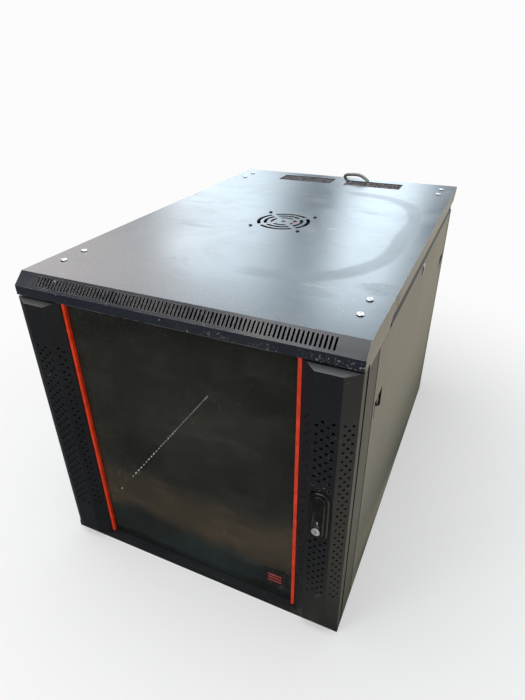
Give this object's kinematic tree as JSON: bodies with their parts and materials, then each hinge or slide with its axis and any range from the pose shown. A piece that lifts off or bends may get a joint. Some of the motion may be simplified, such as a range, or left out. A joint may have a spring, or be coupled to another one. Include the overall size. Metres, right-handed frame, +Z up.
{
  "type": "network server rack cabinet",
  "caption": "Floor-standing network rack cabinet: glass front door with perforated strips and swing-handle lock, lift-off side panels, rack rails, roof fan and brush cable entries.",
  "frame": {"origin": "centre of the base's underside, below the middle of the roof's front-to-rear length", "axes": "+Z up, the glass door faces -Y, +X is to the right seen from the front"},
  "size_m": [0.6036, 1.0896, 0.624],
  "materials": {
    "powder_coat": "near-black slate powder coat, fine texture, chipped edges",
    "roof_coat": "satin dark blue-grey powder coat with scratches and dust",
    "side_coat": "satin dark grey powder coat",
    "rail_zinc": "dark coated steel rack rail",
    "zinc": "zinc-plated steel",
    "black_plastic": "moulded black plastic, half gloss",
    "black_screw": "black oxide screw",
    "red_trim": "bright orange-red plastic trim",
    "smoked_glass": "smoked safety glass, dusty",
    "badge_plastic": null,
    "bristle": "dusty dark brush bristles",
    "grey_cord": "mid-grey flexible cord sheath"
  },
  "bodies": {
    "cabinet": {"base_panel": "powder_coat", "top_panel": "roof_coat", "rear_panel": "powder_coat", "fan_frame": "black_plastic", "cable_brush_left": "bristle", "cable_brush_right": "bristle", "hinge_pin_upper": "zinc", "hinge_pin_lower": "zinc", "fan_lead": "grey_cord", "lead_clip_1": "black_plastic", "lead_clip_2": "black_plastic", "mains_lead": "grey_cord", "mains_lead_coil": "grey_cord", "mains_lead_tail": "grey_cord", "mains_plug": "black_plastic", "front_post_left": "powder_coat", "rear_post_left": "powder_coat", "rack_rail_front_left": "rail_zinc", "rack_rail_rear_left": "rail_zinc", "depth_bar_lower_left": "powder_coat", "depth_bar_upper_left": "powder_coat", "roof_screws_front_left": "zinc", "roof_screws_rear_left": "zinc", "front_post_right": "powder_coat", "rear_post_right": "powder_coat", "rack_rail_front_right": "rail_zinc", "rack_rail_rear_right": "rail_zinc", "depth_bar_lower_right": "powder_coat", "depth_bar_upper_right": "powder_coat", "roof_screws_front_right": "zinc", "roof_screws_rear_right": "zinc", "fan_screw_1": "black_screw", "fan_screw_2": "black_screw", "fan_screw_3": "black_screw", "fan_screw_4": "black_screw"},
    "door": {"door_strip_left": "powder_coat", "door_strip_right": "powder_coat", "door_trim_left": "red_trim", "door_trim_right": "red_trim", "glass_clamp_left": "zinc", "glass_clamp_right": "zinc", "door_glass": "smoked_glass", "door_badge": "badge_plastic", "lock_plinth": "black_plastic"},
    "lock_spindle": {"lock_spindle": "zinc"},
    "lock_lever": {"lock_lever": "black_plastic"},
    "key_barrel": {"key_barrel": "zinc"},
    "side_panel_left": {"side_panel_left": "side_coat", "side_lock_rim_left": "zinc"},
    "side_lock_barrel_left": {"side_lock_barrel_left": "zinc"},
    "side_latch_left_front": {"side_latch_left_front": "black_plastic"},
    "side_latch_left_rear": {"side_latch_left_rear": "black_plastic"},
    "side_panel_right": {"side_panel_right": "side_coat", "side_lock_rim_right": "zinc"},
    "side_lock_barrel_right": {"side_lock_barrel_right": "zinc"},
    "side_latch_right_front": {"side_latch_right_front": "black_plastic"},
    "side_latch_right_rear": {"side_latch_right_rear": "black_plastic"},
    "fan_rotor": {"fan_rotor": "black_plastic"}
  },
  "joints": [
    {"name": "door_hinge", "type": "hinge", "parent": "cabinet", "child": "door", "pos_m": [-0.29, -0.444, 0.29], "axis": [0, 0, -1], "range_deg": [0, 120]},
    {"name": "handle_swing", "type": "hinge", "parent": "door", "child": "lock_spindle", "pos_m": [0.255, -0.4708, 0.33], "axis": [0, 1, 0], "range_deg": [0, 90]},
    {"name": "handle_lift", "type": "hinge", "parent": "lock_spindle", "child": "lock_lever", "pos_m": [0.255, -0.4712, 0.344], "axis": [-1, 0, 0], "range_deg": [0, 35]},
    {"name": "key_turn", "type": "hinge", "parent": "lock_lever", "child": "key_barrel", "pos_m": [0.255, -0.4712, 0.275], "axis": [0, 1, 0], "range_deg": [0, 90]},
    {"name": "side_panel_tilt_left", "type": "hinge", "parent": "cabinet", "child": "side_panel_left", "pos_m": [-0.3, 0.0025, 0.01], "axis": [0, -1, 0], "range_deg": [0, 30]},
    {"name": "side_lock_turn_left", "type": "hinge", "parent": "side_panel_left", "child": "side_lock_barrel_left", "pos_m": [-0.3, -0.003, 0.542], "axis": [-1, 0, 0], "range_deg": [0, 90]},
    {"name": "side_latch_slide_left_front", "type": "slide", "parent": "side_panel_left", "child": "side_latch_left_front", "axis": [0, 1, 0], "range_m": [0, 0.008], "stiffness_N_per_m": 250},
    {"name": "side_latch_slide_left_rear", "type": "slide", "parent": "side_panel_left", "child": "side_latch_left_rear", "axis": [0, -1, 0], "range_m": [0, 0.008], "stiffness_N_per_m": 250},
    {"name": "side_panel_tilt_right", "type": "hinge", "parent": "cabinet", "child": "side_panel_right", "pos_m": [0.3, 0.0025, 0.01], "axis": [0, 1, 0], "range_deg": [0, 30]},
    {"name": "side_lock_turn_right", "type": "hinge", "parent": "side_panel_right", "child": "side_lock_barrel_right", "pos_m": [0.3, -0.003, 0.542], "axis": [1, 0, 0], "range_deg": [0, 90]},
    {"name": "side_latch_slide_right_front", "type": "slide", "parent": "side_panel_right", "child": "side_latch_right_front", "axis": [0, 1, 0], "range_m": [0, 0.008], "stiffness_N_per_m": 250},
    {"name": "side_latch_slide_right_rear", "type": "slide", "parent": "side_panel_right", "child": "side_latch_right_rear", "axis": [0, -1, 0], "range_m": [0, 0.008], "stiffness_N_per_m": 250},
    {"name": "fan_spin", "type": "hinge", "parent": "cabinet", "child": "fan_rotor", "pos_m": [0, -0.005, 0.585], "axis": [0, 0, 1], "continuous": true}
  ]
}
